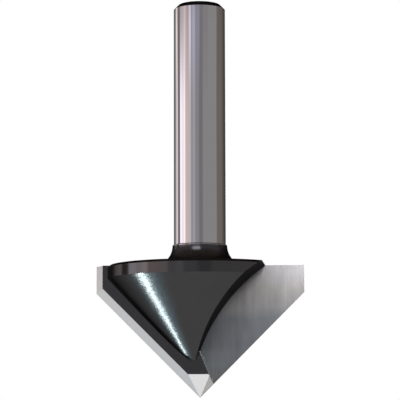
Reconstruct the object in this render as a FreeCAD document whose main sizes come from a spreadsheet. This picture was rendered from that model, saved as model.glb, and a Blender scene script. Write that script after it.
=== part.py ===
"""Two-flute V groove router bit, carbide tipped, shank up and point down.

Frame, in millimetres: the origin is the cutting point, on the axis of rotation, and +Z runs up
the axis to the shank's end.  The cutting faces of both tips lie in the plane Y = 0.  One tip
reaches out along +X with its cutting face towards -Y, and the other is the same turned half a
turn about Z, so the bit cuts when it turns clockwise seen from the shank's end.

The body is one piece of steel: a ground shank, a turned neck with a large root fillet, and a
head that is a short rim over a cone.  Two curved gullets are milled out of the head in front
of the cutting faces, two flat wings back the tips, and each tip is brazed in an open seat.
"""

import FreeCAD, Part
import math
import os

import Sketcher

App = FreeCAD
doc = App.newDocument("v_groove_router_bit")

# Driving dimensions, in millimetres and degrees.
SIZES = [
    ("shank_length", 32.4, "head's top face to the shank's end"),
    ("shank_diameter", 6.35, "quarter inch, ground"),
    ("shank_chamfer", 0.6, "45 degree chamfer on the shank's end"),
    ("neck_step", 0.175, "how far the turned neck stands out past the shank"),
    ("neck_break", 0.12, "chamfer on the neck's upper corner"),
    ("neck_fillet", 2.45, "root fillet from the neck to the head's top face"),
    ("cutting_diameter", 25.4, "one inch over the tips"),
    ("cutting_angle", 90.0, "full angle of the groove that the bit cuts"),
    ("land_height", 3.3, "straight edge above the slanted edge, up to the head's top face"),
    ("rim_step", 1.43, "how far the tips reach past the head's rim"),
    ("rim_height", 1.58, "height of the rim with its chamfer"),
    ("rim_chamfer", 0.3, "45 degree chamfer on the rim's top edge"),
    ("cone_lag", 2.2, "how much nearer the axis than the slanted edge the cone leans"),
    ("tip_thickness", 1.5, "carbide, from the cutting face to its seat"),
    ("tip_width", 4.7, "carbide along the head's top face"),
    ("side_relief", 33.0, "relief angle behind the straight edge"),
    ("edge_relief", 34.8, "relief angle behind the slanted edge"),
    ("point_relief_height", 2.8, "height of the point relief at the back of a tip"),
    ("nose_reach", 1.64, "how far a tip's nose reaches past the axis"),
    ("wing_backing", 0.3, "steel behind the carbide"),
    ("web_height", 5.6, "height at which both gullets meet on the axis"),
    ("gullet_radius", 22.0, "radius of the gullet's curved wall"),
]

sheet = doc.addObject("Spreadsheet::Sheet", "Size")
for row, (alias, size, meaning) in enumerate(SIZES, start=1):
    sheet.set(f"A{row}", alias)
    sheet.set(f"B{row}", str(size))
    sheet.set(f"C{row}", meaning)
    sheet.setAlias(f"B{row}", alias)
doc.recompute()

# Lengths that follow from the driving dimensions, as expressions on the sheet's cells.
CUTTING_RADIUS = "Size.cutting_diameter / 2"
EDGE_LEAN = "(Size.cutting_angle / 2)"
EDGE_SLOPE = f"tan({EDGE_LEAN} * 1 deg)"
EDGE_TOP = f"({CUTTING_RADIUS} / {EDGE_SLOPE})"
HEAD_TOP = f"({EDGE_TOP} + Size.land_height)"
SHANK_RADIUS = "Size.shank_diameter / 2"
SHANK_END = f"({HEAD_TOP} + Size.shank_length)"
NECK_RADIUS = f"({SHANK_RADIUS} + Size.neck_step)"
NECK_TOP = f"({HEAD_TOP} + Size.neck_fillet)"
RIM_RADIUS = f"({CUTTING_RADIUS} - Size.rim_step)"
RIM_BOTTOM = f"({HEAD_TOP} - Size.rim_height)"
CONE_SLOPE = f"tan(({EDGE_LEAN} - Size.cone_lag) * 1 deg)"
CORE_BOTTOM = f"({RIM_BOTTOM} - ({RIM_RADIUS} - Size.tip_thickness) / {CONE_SLOPE})"
NOSE_HEIGHT = f"(Size.nose_reach / {EDGE_SLOPE})"
SIDE_OFFSET = "Size.tip_thickness * tan(Size.side_relief * 1 deg)"
EDGE_OFFSET = f"Size.tip_thickness * tan(Size.edge_relief * 1 deg) / cos({EDGE_LEAN} * 1 deg)"
WING_DEPTH = "(Size.tip_thickness + Size.wing_backing)"
WING_SIDE = f"({CUTTING_RADIUS} - {SIDE_OFFSET})"
WING_CORNER = f"(({WING_SIDE} + {EDGE_OFFSET}) / {EDGE_SLOPE})"
WING_FOOT = f"(Size.point_relief_height * {EDGE_SLOPE} - {EDGE_OFFSET})"
NOSE_SLOPE = f"(Size.nose_reach / (Size.web_height - {NOSE_HEIGHT}))"
WING_NOSE = f"((Size.web_height - Size.point_relief_height) * {NOSE_SLOPE})"
GULLET_MOUTH = f"({CUTTING_RADIUS} - Size.tip_width)"
GULLET_DROP = f"({HEAD_TOP} - Size.web_height)"
GULLET_CHORD = f"sqrt({GULLET_MOUTH} ^ 2 + {GULLET_DROP} ^ 2)"
GULLET_BOW = f"sqrt(Size.gullet_radius ^ 2 - ({GULLET_CHORD} / 2) ^ 2)"
GULLET_CENTRE_X = f"({GULLET_MOUTH} / 2 + {GULLET_BOW} * {GULLET_DROP} / {GULLET_CHORD})"
GULLET_CENTRE_Z = (
    f"(({HEAD_TOP} + Size.web_height) / 2 - {GULLET_BOW} * {GULLET_MOUTH} / {GULLET_CHORD})"
)
GULLET_END = (
    f"({GULLET_CENTRE_X}"
    f" - sqrt(Size.gullet_radius ^ 2 - ({CORE_BOTTOM} - {GULLET_CENTRE_Z}) ^ 2))"
)


def number(expression):
    """The value of an expression on the sheet's cells."""
    return float(sheet.evalExpression(expression))


def origin_feature(body, role):
    """One of the body's own origin planes or axes."""
    return next(item for item in body.Origin.OriginFeatures if item.Role == role)


def pin_coordinate(sketch, point, direction, expression):
    """Hold one coordinate of a sketch point at an expression's value."""
    if expression == "0":
        axis = -2 if direction == "DistanceX" else -1
        sketch.addConstraint(Sketcher.Constraint("PointOnObject", *point, axis))
        return
    index = sketch.addConstraint(
        Sketcher.Constraint(direction, -1, 1, *point, number(expression))
    )
    sketch.setExpression(f"Constraints[{index}]", expression)


def arc_between(start, end, radius, turn):
    """The arc of that radius from start to end; turn is 1 for a centre on the chord's left."""
    chord = end - start
    across = App.Vector(-chord.y, chord.x, 0).normalize()
    bow = math.sqrt(radius ** 2 - (chord.Length / 2) ** 2)
    centre = (start + end) / 2 + across * bow * turn
    first, last = (start, end) if turn > 0 else (end, start)
    angles = [math.atan2(place.y - centre.y, place.x - centre.x) for place in (first, last)]
    if angles[1] < angles[0]:
        angles[1] += 2 * math.pi
    return Part.ArcOfCircle(Part.Circle(centre, App.Vector(0, 0, 1), radius), *angles)


def outline(body, name, corners, arcs=None, plane="XZ_Plane"):
    """A closed, fully constrained outline in one of the body's origin planes.

    corners are pairs of expressions, across and up.  arcs gives the sides that are arcs, by the
    number of the corner they start from, as a radius and the side of the chord of the centre.
    """
    arcs = arcs or {}
    sketch = body.newObject("Sketcher::SketchObject", name)
    sketch.AttachmentSupport = [(origin_feature(body, plane), "")]
    sketch.MapMode = "FlatFace"
    places = [App.Vector(number(across), number(up), 0) for across, up in corners]
    ends = []
    for index, start in enumerate(places):
        end = places[(index + 1) % len(places)]
        if index in arcs:
            radius, turn = arcs[index]
            side = sketch.addGeometry(arc_between(start, end, number(radius), turn))
            ends.append(((side, 1), (side, 2)) if turn > 0 else ((side, 2), (side, 1)))
        else:
            side = sketch.addGeometry(Part.LineSegment(start, end))
            ends.append(((side, 1), (side, 2)))
    for index, (across, up) in enumerate(corners):
        sketch.addConstraint(Sketcher.Constraint("Coincident", *ends[index - 1][1], *ends[index][0]))
        pin_coordinate(sketch, ends[index][0], "DistanceX", across)
        pin_coordinate(sketch, ends[index][0], "DistanceY", up)
    for index, (radius, _) in arcs.items():
        held = sketch.addConstraint(
            Sketcher.Constraint("Radius", ends[index][0][0], number(radius))
        )
        sketch.setExpression(f"Constraints[{held}]", radius)
    doc.recompute()
    return sketch


def half_turn_pattern(body, feature):
    """The feature and its copy half a turn round the axis."""
    pattern = body.newObject("PartDesign::PolarPattern", f"{feature.Name}_pair")
    pattern.Originals = [feature]
    pattern.Axis = (origin_feature(body, "Z_Axis"), [""])
    pattern.Angle = 360
    pattern.Occurrences = 2
    body.Tip = pattern
    doc.recompute()
    return pattern


def must_remove(before, feature):
    """Stop if a cut took nothing away."""
    if feature.Shape.Volume > before - 1e-3:
        raise RuntimeError(f"{feature.Name} cuts nothing")


TIP_OUTLINE = [
    ("0", "0"),
    (f"-{CUTTING_RADIUS}", EDGE_TOP),
    (f"-{CUTTING_RADIUS}", HEAD_TOP),
    (f"-{GULLET_MOUTH}", HEAD_TOP),
    ("0", "Size.web_height"),
    ("Size.nose_reach", NOSE_HEIGHT),
]
TIP_ARC_SIDE = 3


def turned_blank(body):
    """Shank, neck, rim and cone, turned about the axis.

    The cone ends where it is as wide as both tips, and the seats take away what is left of it
    there.
    """
    profile = outline(
        body,
        "turned_profile",
        [
            ("0", CORE_BOTTOM),
            ("Size.tip_thickness", CORE_BOTTOM),
            (RIM_RADIUS, RIM_BOTTOM),
            (RIM_RADIUS, f"{HEAD_TOP} - Size.rim_chamfer"),
            (f"{RIM_RADIUS} - Size.rim_chamfer", HEAD_TOP),
            (f"{NECK_RADIUS} + Size.neck_fillet", HEAD_TOP),
            (NECK_RADIUS, NECK_TOP),
            (f"{NECK_RADIUS} - Size.neck_break", f"{NECK_TOP} + Size.neck_break"),
            (SHANK_RADIUS, f"{NECK_TOP} + Size.neck_break"),
            (SHANK_RADIUS, f"{SHANK_END} - Size.shank_chamfer"),
            (f"{SHANK_RADIUS} - Size.shank_chamfer", SHANK_END),
            ("0", SHANK_END),
        ],
        arcs={5: ("Size.neck_fillet", -1)},
    )
    blank = body.newObject("PartDesign::Revolution", "turned_blank")
    blank.Profile = profile
    blank.ReferenceAxis = (profile, ["V_Axis"])
    blank.Angle = 360
    body.Tip = blank
    doc.recompute()


def gullets(body):
    """Both gullets: everything in front of a cutting face and outside a curved wall."""
    before = body.Shape.Volume
    profile = outline(
        body,
        "gullet_profile",
        [
            (GULLET_MOUTH, HEAD_TOP),
            (GULLET_END, CORE_BOTTOM),
            (CUTTING_RADIUS, CORE_BOTTOM),
            (CUTTING_RADIUS, HEAD_TOP),
        ],
        arcs={0: ("Size.gullet_radius", 1)},
    )
    gullet = body.newObject("PartDesign::Pocket", "gullet")
    gullet.Profile = profile
    gullet.Type = "ThroughAll"
    gullet.Reversed = True
    pair = half_turn_pattern(body, gullet)
    must_remove(before, pair)


def wings(body):
    """Flat wings behind the tips, down to the height where the point relief starts."""
    profile = outline(
        body,
        "wing_profile",
        [
            ("0", HEAD_TOP),
            (f"-{WING_SIDE}", HEAD_TOP),
            (f"-{WING_SIDE}", WING_CORNER),
            (f"-{WING_FOOT}", "Size.point_relief_height"),
            (WING_NOSE, "Size.point_relief_height"),
            ("0", "Size.web_height"),
        ],
    )
    wing = body.newObject("PartDesign::Pad", "wing")
    wing.Profile = profile
    wing.setExpression("Length", WING_DEPTH)
    half_turn_pattern(body, wing)


def seats(body):
    """Open seats for the tips, cut with the tips' own outline and thickness."""
    before = body.Shape.Volume
    profile = outline(
        body, "seat_profile", TIP_OUTLINE, arcs={TIP_ARC_SIDE: ("Size.gullet_radius", -1)}
    )
    seat = body.newObject("PartDesign::Pocket", "seat")
    seat.Profile = profile
    seat.Reversed = True
    seat.setExpression("Length", "Size.tip_thickness")
    pair = half_turn_pattern(body, seat)
    must_remove(before, pair)


def steel_body():
    """The one-piece steel shank and head."""
    body = doc.addObject("PartDesign::Body", "steel_body")
    body.Label = "steel_body"
    turned_blank(body)
    gullets(body)
    wings(body)
    seats(body)
    return body


def relief(body, name, angle, foot="0", tilt="0", inward=""):
    """Relief ground behind one cutting edge, from nothing at the edge to full at the back.

    The wedge is drawn across the edge: foot is where the edge's line crosses the X axis, and
    tilt is its lean from the vertical towards +X.  inward is "-" where the tip lies on the -X
    side of the edge.
    """
    before = body.Shape.Volume
    wedge = outline(
        body,
        f"{name}_profile",
        [
            ("0", "0"),
            ("0", "-Size.tip_thickness"),
            (f"{inward}Size.tip_thickness * tan({angle} * 1 deg)", "-Size.tip_thickness"),
        ],
        plane="XY_Plane",
    )
    wedge.AttachmentOffset = App.Placement(
        App.Vector(number(foot), 0, 0), App.Rotation(App.Vector(0, 1, 0), number(tilt))
    )
    wedge.setExpression("AttachmentOffset.Base.x", foot)
    wedge.setExpression("AttachmentOffset.Rotation.Angle", tilt)
    cut = body.newObject("PartDesign::Pocket", name)
    cut.Profile = wedge
    cut.Type = "ThroughAll"
    cut.SideType = "Symmetric"
    body.Tip = cut
    doc.recompute()
    must_remove(before, cut)


def point_relief(body):
    """One flat from the cutting point up to the back of the tip."""
    before = body.Shape.Volume
    profile = outline(
        body,
        "point_relief_profile",
        [
            ("0", "0"),
            ("-Size.tip_thickness", "Size.point_relief_height"),
            ("-Size.tip_thickness", "0"),
        ],
        plane="YZ_Plane",
    )
    flat = body.newObject("PartDesign::Pocket", "point_relief")
    flat.Profile = profile
    flat.Type = "ThroughAll"
    flat.SideType = "Symmetric"
    body.Tip = flat
    doc.recompute()
    must_remove(before, flat)


def carbide_tip(label, turn):
    """One brazed tip, made on the -X side and turned about the axis to its place."""
    body = doc.addObject("PartDesign::Body", label)
    body.Label = label
    profile = outline(
        body, "tip_profile", TIP_OUTLINE, arcs={TIP_ARC_SIDE: ("Size.gullet_radius", -1)}
    )
    plate = body.newObject("PartDesign::Pad", "plate")
    plate.Profile = profile
    plate.setExpression("Length", "Size.tip_thickness")
    doc.recompute()
    relief(body, "side_relief", "Size.side_relief", foot=f"-{CUTTING_RADIUS}")
    relief(body, "edge_relief", "Size.edge_relief", tilt=f"-{EDGE_LEAN}")
    relief(body, "nose_relief", "Size.edge_relief", tilt=EDGE_LEAN, inward="-")
    point_relief(body)
    body.Placement = App.Placement(App.Vector(0, 0, 0), App.Rotation(App.Vector(0, 0, 1), turn))
    return body


PIECES = [steel_body(), carbide_tip("carbide_tip_left", 0), carbide_tip("carbide_tip_right", 180)]
doc.recompute()

for item in doc.Objects:
    if "Invalid" in item.State or "Error" in item.State:
        raise RuntimeError(f"{item.Label} failed: {item.State}")
for piece in PIECES:
    if piece.Shape.isNull() or not piece.Shape.isValid() or len(piece.Shape.Solids) != 1:
        raise RuntimeError(f"{piece.Label} is not one valid solid")

os.makedirs("parts", exist_ok=True)
for piece in PIECES:
    piece.Shape.exportStep(f"parts/{piece.Label}.step")
    print(piece.Label, round(piece.Shape.Volume, 2), "mm3", piece.Shape.BoundBox)
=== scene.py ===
"""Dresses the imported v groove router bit: finishes for the steel body and the two carbide tips, and a studio.

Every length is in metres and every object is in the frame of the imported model: the cutting point is at the
origin and +Z runs up the shank. Inside the materials, coordinates are in millimetres.
"""

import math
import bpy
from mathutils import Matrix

bl_info = {
    "name": "V groove router bit",
    "version": (1, 0, 0),
    "blender": (4, 5, 0),
    "location": "3D View > Sidebar > Router bit",
    "description": "Finishes of a v groove router bit and the studio that shows it",
    "category": "Object",
}

import bmesh
import bpy
from bpy.props import FloatProperty, FloatVectorProperty, PointerProperty
from mathutils import Matrix, Vector

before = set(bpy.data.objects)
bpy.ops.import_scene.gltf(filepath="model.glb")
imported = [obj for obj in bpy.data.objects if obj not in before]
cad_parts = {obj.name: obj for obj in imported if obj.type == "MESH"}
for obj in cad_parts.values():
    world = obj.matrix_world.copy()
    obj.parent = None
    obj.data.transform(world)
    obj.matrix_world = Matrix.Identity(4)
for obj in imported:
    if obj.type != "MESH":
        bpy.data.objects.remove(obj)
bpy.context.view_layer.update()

MM = 0.001
STEEL = "steel_body"
TIPS = ("carbide_tip_left", "carbide_tip_right")
HEAD_TOP = 16.0 * MM


# Shader maths

class Wire:
    """One output of a shader node, which takes part in Python sums and adds the Math nodes for them."""

    def __init__(self, tree, socket):
        self.tree = tree
        self.socket = socket

    def math(self, operation, *others):
        values = dict(enumerate((self, *others)))
        return self.tree.node("ShaderNodeMath", {"operation": operation}, values)

    def __add__(self, other):
        return self.math("ADD", other)

    def __sub__(self, other):
        return self.math("SUBTRACT", other)

    def __rsub__(self, other):
        return self.tree.node("ShaderNodeMath", {"operation": "SUBTRACT"}, {0: other, 1: self})

    def __mul__(self, other):
        return self.math("MULTIPLY", other)

    def __truediv__(self, other):
        return self.math("DIVIDE", other)

    def __neg__(self):
        return self.math("MULTIPLY", -1.0)

    def __abs__(self):
        return self.math("ABSOLUTE")

    __radd__ = __add__
    __rmul__ = __mul__

    def below(self, limit):
        """1 where this value is under the limit, and 0 elsewhere."""
        return self.math("LESS_THAN", limit)

    def step(self, low, high, start=0.0, end=1.0):
        """Runs smoothly from start to end while this value goes from low to high."""
        return self.tree.node(
            "ShaderNodeMapRange",
            {"interpolation_type": "SMOOTHSTEP"},
            {"Value": self, "From Min": low, "From Max": high, "To Min": start, "To Max": end},
        )


class Shader:
    """A node tree that is filled from code."""

    def __init__(self, tree):
        self.tree = tree
        self.tree.nodes.clear()

    def node(self, kind, settings=None, inputs=None, out=0):
        """Adds a node: its settings first, then the values or links of its sockets.

        Returns the output that out names or numbers.
        """
        made = self.tree.nodes.new(kind)
        for key, value in (settings or {}).items():
            if key == "stops":
                self.fill_ramp(made.color_ramp, value)
            else:
                setattr(made, key, value)
        for key, value in (inputs or {}).items():
            socket = made.inputs[key]
            if isinstance(value, Wire):
                self.tree.links.new(value.socket, socket)
            else:
                socket.default_value = value
        return Wire(self, made.outputs[out]) if made.outputs else made

    @staticmethod
    def fill_ramp(ramp, stops):
        while len(ramp.elements) > 1:
            ramp.elements.remove(ramp.elements[-1])
        for number, (place, colour) in enumerate(stops):
            element = ramp.elements[0] if number == 0 else ramp.elements.new(place)
            element.position = place
            element.color = (*colour, 1.0)

    def split(self, vector):
        """The three numbers of a vector."""
        parts = self.node("ShaderNodeSeparateXYZ", inputs={0: vector})
        outputs = parts.socket.node.outputs
        return tuple(Wire(self, outputs[k]) for k in range(3))

    def coordinates(self):
        """The object's own coordinates in millimetres, as a vector and as x, y and z."""
        place = self.scale(self.node("ShaderNodeTexCoord", out="Object"), 1.0 / MM)
        return (place, *self.split(place))

    def ramp(self, factor, stops):
        """The colour of a ramp at a number from 0 to 1."""
        return self.node("ShaderNodeValToRGB", {"stops": stops}, {0: factor})

    def mix(self, factor, first, second):
        """A colour that goes from first to second."""
        mixed = self.node("ShaderNodeMix", {"data_type": "RGBA"}, {0: factor}, out=2)
        node = mixed.socket.node
        for socket, value in ((node.inputs[6], first), (node.inputs[7], second)):
            if isinstance(value, Wire):
                self.tree.links.new(value.socket, socket)
            else:
                socket.default_value = (*value, 1.0)
        return mixed

    def vector(self, operation, first, second):
        """A vector worked out from two vectors."""
        return self.node("ShaderNodeVectorMath", {"operation": operation}, {0: first, 1: second})

    def scale(self, vector, amount):
        """A vector made longer, or a colour made lighter, by a number."""
        return self.node("ShaderNodeVectorMath", {"operation": "SCALE"}, {0: vector, "Scale": amount})

    def unit(self, vector):
        """A vector of the same direction and of length 1."""
        return self.node("ShaderNodeVectorMath", {"operation": "NORMALIZE"}, {0: vector})

    def blend(self, factor, first, second):
        """A number that goes from first to second."""
        return first + (second - first) * factor

    def vary(self, factor, spread, middle=1.0):
        """A number that goes from spread under the middle to spread over it."""
        return self.blend(factor, middle - spread, middle + spread)

    def noise(self, place, stretch, scale, detail=2.0, rough=0.5):
        """Noise from 0 to 1 on coordinates that are first multiplied by stretch."""
        place = self.vector("MULTIPLY", place, stretch)
        return self.node(
            "ShaderNodeTexNoise", None, {"Vector": place, "Scale": scale, "Detail": detail, "Roughness": rough}
        )

    def flakes(self, place, size, tilt):
        """A normal that leans at random from grain to grain."""
        cell = self.node("ShaderNodeTexVoronoi", None, {"Vector": place, "Scale": 1.0 / size}, out="Color")
        lean = self.vector("SUBTRACT", cell, (0.5, 0.5, 0.5))
        normal = self.node("ShaderNodeNewGeometry", out="Normal")
        return self.unit(self.vector("ADD", normal, self.scale(lean, tilt)))

    def bump(self, height, distance):
        """A normal that follows a height from 0 to 1 times a distance in metres."""
        return self.node("ShaderNodeBump", None, {"Height": height, "Strength": 1.0, "Distance": distance})

    def metal(self, colour, roughness, normal, **constants):
        """A metal surface; constants are sockets with one value all over."""
        sockets = {"Base Color": colour, "Roughness": roughness, "Metallic": 1.0, "Normal": normal}
        return self.node("ShaderNodeBsdfPrincipled", None, {**sockets, **constants})

    def finish(self, surface):
        self.node("ShaderNodeOutputMaterial", None, {"Surface": surface})


def new_material(name):
    material = bpy.data.materials.new(name)
    material.use_nodes = True
    return material, Shader(material.node_tree)


# Settings

class SteelSettings(bpy.types.PropertyGroup):
    """The finishes of the steel body."""

    shank_colour: FloatVectorProperty(
        name="Shank colour", description="Colour of the ground shank",
        subtype="COLOR", size=3, min=0.0, max=1.0, default=(0.73, 0.72, 0.72),
    )
    shank_roughness: FloatProperty(
        name="Shank roughness", description="Roughness of the ground shank", min=0.0, max=1.0, default=0.05,
    )
    head_colour: FloatVectorProperty(
        name="Head colour", description="Colour of the blackened head",
        subtype="COLOR", size=3, min=0.0, max=1.0, default=(0.115, 0.112, 0.112),
    )
    head_roughness: FloatProperty(
        name="Head roughness", description="Roughness of the blackened head", min=0.0, max=1.0, default=0.19,
    )
    edge_shine: FloatProperty(
        name="Edge shine", description="Shine of the blackened coat at a glancing angle",
        min=0.0, max=1.0, default=0.3,
    )
    grain: FloatProperty(
        name="Grain", description="Size of the grain of the blackened coat", unit="LENGTH", default=0.1 * MM,
    )
    grain_tilt: FloatProperty(
        name="Grain tilt", description="How far the grains of the blackened coat lean at random",
        min=0.0, max=1.0, default=0.05,
    )
    # Painted shade: the gullet walls get a darker colour than the blackened head
    gullet_shade_colour: FloatVectorProperty(
        name="Gullet colour", description="Colour of the gullet walls",
        subtype="COLOR", size=3, min=0.0, max=1.0, default=(0.035, 0.033, 0.033),
    )
    shank_start: FloatProperty(
        name="Shank start", description="Height where the ground finish of the shank starts",
        unit="LENGTH", default=18.4 * MM,
    )
    shank_stop: FloatProperty(
        name="Shank stop", description="Height where the ground finish of the shank ends, below its chamfer",
        unit="LENGTH", default=47.8 * MM,
    )
    head_top: FloatProperty(
        name="Head top", description="Height of the head's flat top face", unit="LENGTH", default=HEAD_TOP,
    )
    rim_radius: FloatProperty(
        name="Rim radius", description="Radius of the rim of the head", unit="LENGTH", default=11.27 * MM,
    )
    cone_point: FloatProperty(
        name="Cone point", description="Height at which the cone of the head would come to a point",
        unit="LENGTH", default=2.25 * MM,
    )
    cone_angle: FloatProperty(
        name="Cone angle", description="Angle between the side of the cone and its axis",
        unit="ROTATION", default=math.radians(42.8),
    )


class CarbideSettings(bpy.types.PropertyGroup):
    """The ground finish of the carbide tips."""

    relief_colour: FloatVectorProperty(
        name="Relief colour", description="Colour of the relief faces",
        subtype="COLOR", size=3, min=0.0, max=1.0, default=(0.70, 0.70, 0.71),
    )
    # Painted shade: the cutting faces get a darker copy of the carbide's colour than the relief faces
    face_shade_colour: FloatVectorProperty(
        name="Face colour", description="Colour of the cutting faces",
        subtype="COLOR", size=3, min=0.0, max=1.0, default=(0.28, 0.28, 0.28),
    )
    roughness: FloatProperty(
        name="Carbide roughness", description="Roughness of ground carbide", min=0.0, max=1.0, default=0.33,
    )
    lines: FloatProperty(
        name="Grinding lines", description="Spacing of the grinding lines", unit="LENGTH", default=0.18 * MM,
    )
    tip_top: FloatProperty(
        name="Tip top", description="Height of the tips' top faces", unit="LENGTH", default=HEAD_TOP,
    )


class StudioSettings(bpy.types.PropertyGroup):
    """The stage, its light tent and its lamps."""

    floor_drop: FloatProperty(
        name="Floor drop", description="Depth of the floor below the cutting point",
        unit="LENGTH", default=30.0 * MM,
    )
    floor_colour: FloatVectorProperty(
        name="Floor colour", description="Colour of the floor",
        subtype="COLOR", size=3, min=0.0, max=1.0, default=(0.86, 0.86, 0.86),
    )
    air_colour: FloatVectorProperty(
        name="Air colour", description="Colour of the plain light from all around",
        subtype="COLOR", size=3, min=0.0, max=1.0, default=(0.55, 0.55, 0.55),
    )
    tent_radius: FloatProperty(
        name="Tent radius", description="Radius of the light tent around the bit", unit="LENGTH", default=0.6,
    )
    key_power: FloatProperty(
        name="Key power", description="Power of the softbox on the left", default=3.4,
    )
    fill_power: FloatProperty(
        name="Fill power", description="Power of the softbox on the right", default=1.6,
    )
    table_light: FloatProperty(
        name="Table light", description="Strength of the lamp that shines up past the table", default=0.23,
    )
    carbide_fill: FloatProperty(
        name="Carbide fill", description="Power of the lamp on the relief of the left tip", default=0.075,
    )
    carbide_accent: FloatProperty(
        name="Carbide accent", description="Power of the small lamp on the right tip's face", default=0.0029,
    )


# Pieces

class SteelFinish(bpy.types.Operator):
    """Gives the steel body its ground shank, blackened head and painted shade on the gullet walls"""

    bl_idname = "router_bit.steel_finish"
    bl_label = "Finish the steel body"

    def execute(self, context):
        size = context.scene.router_bit_steel
        material, s = new_material("steel_finish")
        place, x, y, z = s.coordinates()
        shank, gullet, rim = self.areas(s, size, x, y, z)
        top = size.head_top / MM
        calm = rim.math("MAXIMUM", z.step(top - 0.1, top + 0.1))
        cloud = s.noise(place, (1.0, 1.0, 1.0), scale=0.35, detail=3.0)
        rings = s.noise(place, (0.08, 0.08, 1.0), scale=9.0, detail=3.0, rough=0.65)

        # The gullet walls are rougher than the coat and get a darker colour as painted shade, the rim is
        # smoother, and rim and neck glitter least
        coat = s.mix(gullet, size.head_colour, size.gullet_shade_colour)
        blackened = s.metal(
            s.scale(coat, s.vary(cloud, 0.06)),
            s.vary(cloud, 0.02, size.head_roughness) + gullet * 0.2 - rim * 0.08,
            s.flakes(place, size.grain / MM, s.blend(calm, size.grain_tilt, size.grain_tilt * 0.1)),
            **{"Specular Tint": (size.edge_shine,) * 3 + (1.0,)},
        )
        ground = s.metal(
            s.scale(tuple(size.shank_colour), s.vary(rings, 0.025)),
            s.vary(rings, 0.02, size.shank_roughness),
            s.bump(rings, 0.0008 * MM),
        )
        s.finish(s.node("ShaderNodeMixShader", None, {0: shank, 1: blackened, 2: ground}))
        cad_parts[STEEL].material_slots[0].material = material
        return {"FINISHED"}

    @staticmethod
    def areas(s, size, x, y, z):
        """Where the ground shank, the gullet walls and the rim are, as numbers from 0 to 1.

        The small numbers in the steps are soft edges in millimetres.
        """
        start, stop, top = size.shank_start / MM, size.shank_stop / MM, size.head_top / MM
        shank = z.step(start - 0.05, start + 0.05) * z.step(stop, stop + 0.04, 1.0, 0.0)

        radius = (x * x + y * y).math("SQRT")
        outline = ((z - size.cone_point / MM) * math.tan(size.cone_angle)).math("MINIMUM", size.rim_radius / MM)

        # A gullet wall lies inside the head's outline, in front of a cutting face, and looks sideways along X
        _, lean_y, lean_z = s.split(s.node("ShaderNodeNewGeometry", out="Normal"))
        gullet = (outline - radius).step(0.04, 0.12) * z.below(top + 0.01) * (x * y).below(0.0)
        gullet = gullet * abs(lean_y).below(0.5) * lean_z.below(0.5)

        rim = (outline - size.rim_radius / MM).step(-0.04, -0.01)
        rim = rim * (radius - size.rim_radius / MM).step(-0.1, -0.05)
        return shank, gullet, rim


# Painted reflection on a cutting face: its colour made lighter, darker and tinted along its height, from the
# cutting point at 0 up to its top edge at 1
FACE_PAINTED_REFLECTION = (
    (0.1, (0.86, 0.87, 0.84)), (0.25, (0.96, 1.04, 1.07)), (0.45, (0.88, 0.94, 0.99)),
    (0.6, (0.80, 0.85, 0.89)), (0.7, (0.97, 0.96, 0.97)), (0.82, (1.04, 1.0, 0.98)), (0.95, (1.02, 1.0, 1.02)),
)


class CarbideFinish(bpy.types.Operator):
    """Gives the two carbide tips their ground faces"""

    bl_idname = "router_bit.carbide_finish"
    bl_label = "Finish the carbide tips"

    def execute(self, context):
        size = context.scene.router_bit_carbide
        material, s = new_material("carbide_finish")
        place, _, y, z = s.coordinates()
        face = abs(y).step(0.02, 0.06, 1.0, 0.0)
        fine = s.noise(place, (1.0, 1.0, 0.008), scale=MM / size.lines, detail=3.0, rough=0.7)
        streaks = s.noise(place, (1.0, 1.0, 0.15), scale=1.2, detail=3.0)
        cloud = s.noise(place, (1.0, 1.0, 0.7), scale=0.35, detail=3.0)
        speck = s.noise(place, (1.0, 1.0, 1.0), scale=6.0)

        # Painted reflection: the cutting face's colour is lightened, darkened and tinted by height, with a
        # random wobble
        painted_reflection = s.ramp((z + s.vary(cloud, 2.0, 0.0)) / (size.tip_top / MM), FACE_PAINTED_REFLECTION)
        lines = s.vary(fine, 0.13) * s.vary(streaks, 0.22) * s.vary(cloud, 0.25)
        # The cutting faces' colour: the painted reflection times the painted-shade face colour, with random
        # grinding lines and streaks
        cutting = s.scale(s.vector("MULTIPLY", painted_reflection, size.face_shade_colour), lines)
        relief = s.scale(tuple(size.relief_colour), s.vary(speck, 0.02))
        height = fine * face * 0.0005 + speck * (1.0 - face) * 0.002
        s.finish(s.metal(
            s.mix(face, relief, cutting),
            s.vary(fine, 0.04, size.roughness) + face * 0.03,
            s.bump(height, MM),
        ))
        for name in TIPS:
            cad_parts[name].material_slots[0].material = material
        return {"FINISHED"}


# Stage

# Azimuths and elevations are in degrees: azimuth 0 is the viewer's side, -Y, and grows towards +X

# The tent's upright bands, in three rows of elevation: azimuth where a band starts, brightness, tint
LOW_BANDS = (
    (-180.0, 0.36, (1.01, 1.0, 0.99)), (-126.0, 0.80, (1.06, 0.97, 0.96)), (-107.0, 0.14, (1.1, 0.93, 1.04)),
    (-93.0, 1.30, (1.02, 0.96, 1.05)), (-80.0, 1.10, (1.05, 0.95, 1.03)), (-70.0, 1.30, (1.08, 0.94, 0.98)),
    (-62.0, 0.65, (1.15, 0.93, 0.92)), (-48.0, 0.62, (1.08, 0.97, 0.96)), (-34.5, 0.38, (1.0, 0.97, 1.02)),
    (-24.0, 0.45, (0.99, 0.97, 1.05)), (-15.0, 0.30, (1.0, 0.98, 1.06)), (2.0, 0.215, (1.0, 0.97, 1.03)),
    (19.0, 0.30, (1.02, 0.99, 1.0)), (86.5, 0.17, (1.13, 0.97, 0.9)), (120.0, 0.155, (1.12, 0.97, 0.9)),
)
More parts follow.
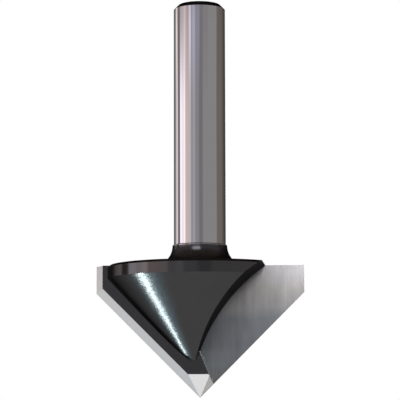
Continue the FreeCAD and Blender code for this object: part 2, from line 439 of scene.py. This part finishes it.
HIGH_BANDS = (
    (-180.0, 0.36, (1.01, 1.0, 0.98)), (-127.0, 1.05, (1.08, 0.97, 0.94)), (-112.0, 0.19, (1.1, 0.93, 0.92)),
    (-93.0, 0.54, (1.05, 0.96, 1.0)), (-79.0, 0.60, (1.13, 0.95, 0.97)), (-69.0, 0.76, (1.13, 0.94, 0.96)),
    (-61.0, 0.61, (1.13, 0.93, 0.94)), (-55.0, 0.50, (1.13, 0.93, 0.95)), (-43.5, 0.87, (1.02, 0.94, 1.08)),
    (-33.0, 0.38, (0.98, 0.93, 1.15)), (-28.0, 0.54, (0.97, 0.96, 1.18)), (-14.0, 0.34, (0.98, 0.96, 1.16)),
    (6.0, 0.225, (1.0, 0.97, 1.08)), (21.0, 0.275, (1.01, 0.98, 1.01)), (45.0, 0.305, (1.01, 0.99, 1.0)),
    (89.0, 0.155, (1.13, 0.97, 0.9)),
)
BELOW_BANDS = (
    (-180.0, 1.05, (1.0, 1.0, 1.01)), (-164.0, 0.30, (1.0, 0.99, 1.02)), (-140.0, 0.42, (1.0, 0.99, 1.02)),
    (-126.0, 0.86, (1.04, 0.98, 0.97)), (-107.0, 0.22, (1.06, 0.96, 1.02)), (-93.0, 1.10, (1.02, 0.98, 1.03)),
    (-62.0, 0.62, (1.08, 0.96, 0.95)), (-34.0, 0.40, (1.0, 0.98, 1.02)), (-15.0, 0.28, (1.0, 0.98, 1.03)),
    (19.0, 0.30, (1.01, 0.99, 1.0)), (56.0, 0.95, (1.03, 0.99, 0.98)), (72.0, 0.28, (1.05, 0.98, 0.96)),
    (104.0, 0.80, (1.05, 0.97, 0.95)), (118.0, 0.45, (1.05, 0.98, 0.96)), (150.0, 0.45, (1.0, 0.98, 1.02)),
    (166.0, 1.05, (1.0, 1.0, 1.01)),
)
BAND_FADE = 3.0

# The tent above and below its bands, from the horizon at 0 to straight up or straight down at 1
SKY = (
    (0.0, (0.25, 0.25, 0.26)), (0.33, (0.25, 0.24, 0.24)), (0.42, (0.16, 0.15, 0.14)),
    (0.60, (0.13, 0.11, 0.10)), (0.9, (0.075, 0.063, 0.06)),
)
GROUND = (
    (0.0, (0.22, 0.22, 0.23)), (0.12, (0.25, 0.25, 0.26)), (0.33, (0.36, 0.36, 0.36)),
    (0.6, (0.40, 0.40, 0.40)), (1.0, (0.42, 0.42, 0.42)),
)

# Elevations between which one part of the tent fades into the next
LOW_TO_HIGH = (10.7, 15.2)
HIGH_TO_SKY = (14.0, 19.0)
LOW_TO_BELOW = (3.0, -1.0)
BELOW_TO_GROUND = (-20.0, -32.0)

# Round glows on the tent: azimuth, elevation, colour, and the radii in degrees where it starts to fade and ends
GLOWS = (
    (-130.0, -49.5, (0.27, 0.35, 0.42), 5.0, 16.0),
    (171.0, -50.0, (1.32, 1.3, 1.28), 8.0, 24.0),
    (-9.0, -50.0, (1.32, 1.3, 1.28), 8.0, 24.0),
    (114.0, -44.0, (0.62, 0.59, 0.57), 6.0, 20.0),
    (-17.0, 29.5, (2.2, 2.2, 2.5), 4.0, 12.0),
    (-2.0, 29.5, (2.2, 2.2, 2.5), 4.0, 12.0),
    (-105.0, -54.5, (0.65, 0.95, 1.1), 3.0, 13.0),
    (44.0, -50.0, (2.8, 3.2, 3.4), 3.0, 10.0),
)

WHITE = (1.0, 1.0, 1.0)
FLOOR_RADIUS = 4.0
FLOOR_LIFT = 0.4
SOFTBOX_SIZE = 0.3
LAMP_DISTANCE = 0.3
CAMERA_PLACE = (19.886 * MM, -223.246 * MM, -2.718 * MM)
CAMERA_TURNS = ((5.082, "Z"), (90.0 + 6.824, "X"), (-0.132, "Z"))
CAMERA_LENS = 165.75


def direction(azimuth, elevation):
    """A unit vector towards an azimuth and an elevation."""
    a, e = math.radians(azimuth), math.radians(elevation)
    return Vector((math.sin(a) * math.cos(e), -math.cos(a) * math.cos(e), math.sin(e)))


def show_only(thing, **rays):
    """Leaves a stage object or lamp visible to the named kinds of ray alone."""
    for kind in ("camera", "diffuse", "glossy", "transmission", "volume_scatter", "shadow"):
        setattr(thing, "visible_" + kind, rays.get(kind, False))


def add_mesh(name, build):
    """Adds an object whose mesh is made by build."""
    mesh = bpy.data.meshes.new(name)
    form = bmesh.new()
    build(form)
    form.to_mesh(mesh)
    form.free()
    thing = bpy.data.objects.new(name, mesh)
    bpy.context.scene.collection.objects.link(thing)
    return thing


def add_lamp(name, kind, place, target, **settings):
    """Adds a lamp at a place that shines at a target."""
    data = bpy.data.lights.new(name, kind)
    for key, value in settings.items():
        setattr(data, key, value)
    lamp = bpy.data.objects.new(name, data)
    lamp.location = place
    lamp.rotation_euler = (Vector(target) - Vector(place)).to_track_quat("-Z", "Y").to_euler()
    bpy.context.scene.collection.objects.link(lamp)
    return lamp


class Stage(bpy.types.Operator):
    """Builds the floor, the light tent, the lamps and the camera"""

    bl_idname = "router_bit.stage"
    bl_label = "Build the stage"

    def execute(self, context):
        size = context.scene.router_bit_studio
        context.scene.view_settings.view_transform = "Standard"
        self.world(context.scene, size)
        self.floor(size)
        self.tent(size)
        self.lamps(size)
        self.camera(context.scene)
        return {"FINISHED"}

    def seen(self, s):
        """1 for rays from the camera and for rays off metal or through glass."""
        rays = s.node("ShaderNodeLightPath").socket.node.outputs
        seen = Wire(s, rays["Is Camera Ray"])
        for name in ("Is Glossy Ray", "Is Transmission Ray"):
            seen = seen.math("MAXIMUM", Wire(s, rays[name]))
        return seen

    def world(self, scene, size):
        """A white background to the eye, over plain grey light."""
        scene.world = bpy.data.worlds.new("studio_air")
        scene.world.use_nodes = True
        s = Shader(scene.world.node_tree)
        light = s.mix(self.seen(s), size.air_colour, WHITE)
        air = s.node("ShaderNodeBackground", None, {"Color": light, "Strength": 1.0})
        s.node("ShaderNodeOutputWorld", None, {"Surface": air})

    def floor(self, size):
        """A pale floor, clear from underneath so that it hides nothing in views from below."""
        drop = -size.floor_drop

        def build(form):
            bmesh.ops.create_circle(form, cap_ends=True, segments=96, radius=FLOOR_RADIUS)
            for vertex in form.verts:
                vertex.co.z = drop

        floor = add_mesh("floor", build)
        material, s = new_material("pale_floor")
        paper = s.node("ShaderNodeBsdfDiffuse", None, {"Color": (*size.floor_colour, 1.0)})
        glow = self.seen(s) * FLOOR_LIFT
        lift = s.node("ShaderNodeEmission", None, {"Color": (*WHITE, 1.0), "Strength": glow})
        top = s.node("ShaderNodeAddShader", None, {0: paper, 1: lift})
        clear = s.node("ShaderNodeBsdfTransparent")
        underside = s.node("ShaderNodeNewGeometry", out="Backfacing")
        s.finish(s.node("ShaderNodeMixShader", None, {0: underside, 1: top, 2: clear}))
        floor.data.materials.append(material)
        show_only(floor, camera=True, diffuse=True)

    @staticmethod
    def band_stops(bands):
        """Stops of a ramp over the azimuth, with a soft edge from band to band."""
        stops = []
        for (start, bright, tint), end in zip(bands, [band[0] for band in bands[1:]] + [180.0]):
            colour = [bright * part for part in tint]
            for edge in (start + BAND_FADE / 2.0, end - BAND_FADE / 2.0):
                stops.append(((edge + 180.0) / 360.0, colour))
        return stops

    def tent_light(self, s, place):
        """The colour of the tent's cloth in the direction of place, a unit vector."""
        x, y, z = s.split(place)
        around = x.math("ARCTAN2", -y) / (2.0 * math.pi) + 0.5
        up = z.math("ARCSINE") * (180.0 / math.pi)

        low, high, below = (
            s.ramp(around, self.band_stops(bands)) for bands in (LOW_BANDS, HIGH_BANDS, BELOW_BANDS)
        )
        bands = s.scale(s.mix(up.step(*LOW_TO_HIGH), low, high), y.step(0.4, 1.0, 1.0, 0.3))
        # The sky is bright at the front and the left, and dimmer elsewhere
        front = (1.0 - y.step(-0.1, 0.5)) + x.step(-0.3, -0.8) * 0.8
        sky = s.scale(s.ramp(up / 90.0, SKY), s.blend(front.math("MINIMUM", 1.0), 0.28, 1.0))
        ground = s.ramp(up / -90.0, GROUND)

        light = s.mix(up.step(*HIGH_TO_SKY), bands, sky)
        light = s.mix(up.step(*LOW_TO_BELOW), light, below)
        light = s.mix(up.step(*BELOW_TO_GROUND), light, ground)
        for azimuth, elevation, colour, inner, outer in GLOWS:
            aim = {0: place, 1: direction(azimuth, elevation)}
            near = s.node("ShaderNodeVectorMath", {"operation": "DOT_PRODUCT"}, aim, out="Value")
            glow = near.step(math.cos(math.radians(outer)), math.cos(math.radians(inner)))
            light = s.mix(glow, light, colour)
        return light

    def tent(self, size):
        """A light tent that shows in reflections alone."""
        middle = Vector((0.0, 0.0, 20.0 * MM))

        def build(form):
            bmesh.ops.create_uvsphere(form, u_segments=96, v_segments=48, radius=size.tent_radius)
            for vertex in form.verts:
                vertex.co += middle
            bmesh.ops.reverse_faces(form, faces=form.faces)

        tent = add_mesh("light_tent", build)
        material, s = new_material("tent_cloth")
        material.cycles.emission_sampling = "NONE"
        place = s.vector("SUBTRACT", s.node("ShaderNodeTexCoord", out="Object"), middle)
        light = self.tent_light(s, s.unit(place))
        s.finish(s.node("ShaderNodeEmission", None, {"Color": light, "Strength": 1.0}))
        tent.data.materials.append(material)
        show_only(tent, glossy=True)

    def lamps(self, size):
        """Two soft lamps for everything, one for the streak on the steel and two for the tips."""
        heart = (0.0, 0.0, 22.0 * MM)
        for name, place, power in (
            ("key_softbox", (-0.22, -0.26, 0.42), size.key_power),
            ("fill_softbox", (0.32, -0.2, 0.3), size.fill_power),
        ):
            softbox = add_lamp(name, "AREA", place, heart, energy=power, shape="SQUARE", size=SOFTBOX_SIZE)
            show_only(softbox, diffuse=True, shadow=True)

        table = add_lamp(
            "table_light", "SUN", direction(-112.0, -49.5) * LAMP_DISTANCE, (0.0, 0.0, 0.0),
            energy=size.table_light, angle=math.radians(5.5), color=(0.80, 0.97, 1.0),
        )
        table.data.cycles.use_multiple_importance_sampling = False

        tip_fill = add_lamp(
            "carbide_fill", "AREA", direction(-120.0, -20.0) * LAMP_DISTANCE, (0.0, 0.0, 8.0 * MM),
            energy=size.carbide_fill, shape="DISK", size=0.28, color=(1.0, 0.985, 0.965),
        )
        tip_accent = add_lamp(
            "carbide_accent", "AREA", (13.0 * MM, -40.0 * MM, 23.0 * MM), (12.5 * MM, 0.0, 15.0 * MM),
            energy=size.carbide_accent, shape="DISK", size=6.0 * MM,
        )
        for lamp in (tip_fill, tip_accent):
            show_only(lamp, diffuse=True, glossy=True, shadow=True)

        for lamp, names in ((table, (STEEL,)), (tip_fill, TIPS), (tip_accent, TIPS)):
            lit = bpy.data.collections.new("lit_by_" + lamp.name)
            for name in names:
                lit.objects.link(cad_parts[name])
            lamp.light_linking.receiver_collection = lit

    def camera(self, scene):
        """A long lens near the height of the cutting point, panned, tilted up and rolled."""
        data = bpy.data.cameras.new("camera")
        data.sensor_width = 36.0
        data.lens = CAMERA_LENS
        data.clip_start = 0.01
        camera = bpy.data.objects.new("camera", data)
        place = Matrix.Translation(CAMERA_PLACE)
        for angle, axis in CAMERA_TURNS:
            place @= Matrix.Rotation(math.radians(angle), 4, axis)
        camera.matrix_world = place
        scene.collection.objects.link(camera)
        scene.camera = camera


class RouterBitPanel(bpy.types.Panel):
    """Lists the steps of the router bit"""

    bl_idname = "VIEW3D_PT_router_bit"
    bl_label = "V groove router bit"
    bl_space_type = "VIEW_3D"
    bl_region_type = "UI"
    bl_category = "Router bit"

    def draw(self, context):
        scene = context.scene
        for settings, step in (
            (scene.router_bit_steel, SteelFinish),
            (scene.router_bit_carbide, CarbideFinish),
            (scene.router_bit_studio, Stage),
        ):
            box = self.layout.box()
            for name in settings.bl_rna.properties.keys():
                if name not in ("name", "rna_type"):
                    box.prop(settings, name)
            box.operator(step.bl_idname)


CLASSES = (SteelSettings, CarbideSettings, StudioSettings, SteelFinish, CarbideFinish, Stage, RouterBitPanel)
SETTINGS = {
    "router_bit_steel": SteelSettings,
    "router_bit_carbide": CarbideSettings,
    "router_bit_studio": StudioSettings,
}


def register():
    for one in CLASSES:
        bpy.utils.register_class(one)
    for name, group in SETTINGS.items():
        setattr(bpy.types.Scene, name, PointerProperty(type=group))


def unregister():
    for name in SETTINGS:
        delattr(bpy.types.Scene, name)
    for one in reversed(CLASSES):
        bpy.utils.unregister_class(one)


def main():
    register()
    for step in (bpy.ops.router_bit.steel_finish, bpy.ops.router_bit.carbide_finish, bpy.ops.router_bit.stage):
        step()


if __name__ == "__main__":
    main()
